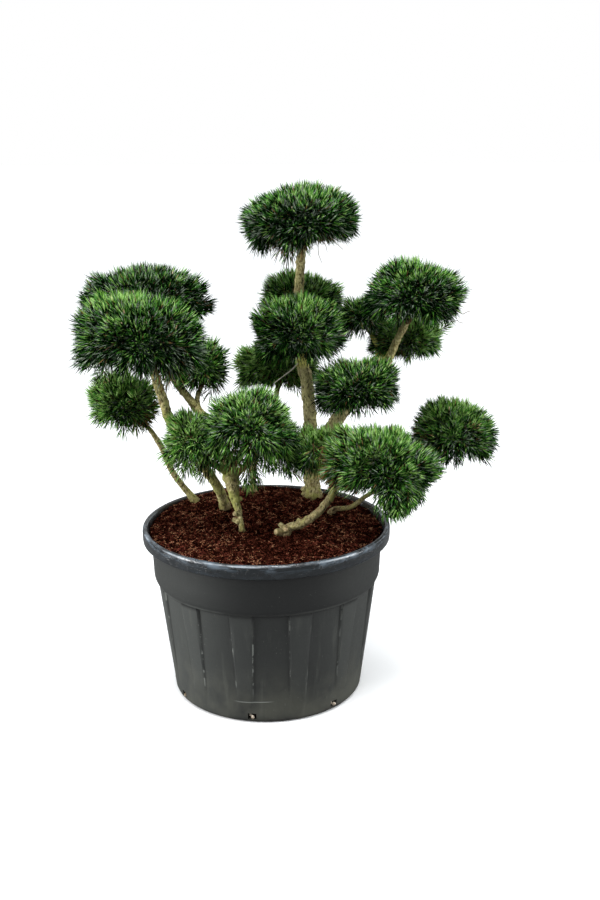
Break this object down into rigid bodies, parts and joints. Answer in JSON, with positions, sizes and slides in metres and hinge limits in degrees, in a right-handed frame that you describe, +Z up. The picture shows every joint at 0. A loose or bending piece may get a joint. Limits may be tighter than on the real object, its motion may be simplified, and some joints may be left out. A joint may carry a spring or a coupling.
{
  "type": "potted mugo pine",
  "caption": "Cloud-pruned mugo pine with several stems and clipped domes of needles, standing in a large round nursery pot filled with bark and coir.",
  "frame": {"origin": "centre of the flat underside of the pot, which stands on the ground", "axes": "+Z up along the pot's axis and the plant's height, -Y towards the side that the picture shows, +X to the right in the picture"},
  "size_m": [1.526, 1.0161, 1.7635],
  "materials": {
    "pot_plastic": "charcoal moulded plastic, glossier on the rim",
    "substrate": "loose red-brown coir and bark fibre",
    "bark": "rough grey-brown bark, olive with moss low down",
    "needles": "dense stiff green needles"
  },
  "bodies": {
    "root": {"pot": "pot_plastic", "soil": "substrate", "trunk": "bark", "limb_right": "bark", "bough_middle": "bark", "bough_back": "bark", "bough_far_right": "bark", "bough_right_middle": "bark", "bough_right_back": "bark", "bough_right_inner": "bark", "stem_left_thin": "bark", "stem_left": "bark", "stem_front_left": "bark", "bough_left_inner": "bark", "bough_front_left": "bark", "bough_front_middle": "bark", "bough_front_inner": "bark", "stem_back": "bark", "limb_front_right": "bark", "bough_front_small": "bark", "stem_low_right": "bark", "needles_top": "needles", "needles_back": "needles", "needles_middle": "needles", "needles_back_low": "needles", "needles_left_back": "needles", "needles_left_front": "needles", "needles_left_inner": "needles", "needles_left_low": "needles", "needles_front_left": "needles", "needles_front_middle": "needles", "needles_front_inner": "needles", "needles_right_top": "needles", "needles_right_inner": "needles", "needles_right_back": "needles", "needles_right_middle": "needles", "needles_far_right": "needles", "needles_front_right": "needles", "needles_front_small": "needles"}
  },
  "joints": []
}
